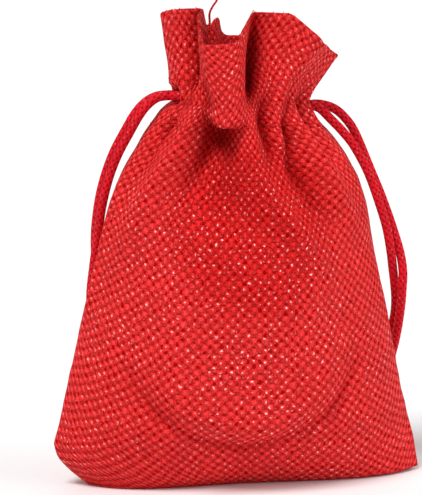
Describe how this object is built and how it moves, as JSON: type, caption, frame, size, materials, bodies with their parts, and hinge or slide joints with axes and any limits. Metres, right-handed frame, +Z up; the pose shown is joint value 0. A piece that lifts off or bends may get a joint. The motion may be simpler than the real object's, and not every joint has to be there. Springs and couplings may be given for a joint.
{
  "type": "kinchaku drawstring pouch",
  "caption": "Small filled cloth pouch drawn shut at the neck, with a ruffled mouth, a cord channel and a knotted drawstring on each side",
  "frame": {"origin": "centre of the cloth's footprint on the floor: the middle of the cloth's bounding box in X and Y, at its flat base", "axes": "+Z up through the gathered mouth, +X to the right seen from the front, -Y out of the front panel with the folded tongue"},
  "size_m": [0.097, 0.0439, 0.1222],
  "materials": {
    "red_weave": "coarse plain weave of thick slightly glossy red yarn",
    "red_braid": "smooth round braided cord, deeper crimson than the cloth"
  },
  "bodies": {
    "root": {"pouch_cloth": "red_weave", "drawstring_left": "red_braid", "drawstring_right": "red_braid", "knot_left": "red_braid", "knot_right": "red_braid"}
  },
  "joints": []
}
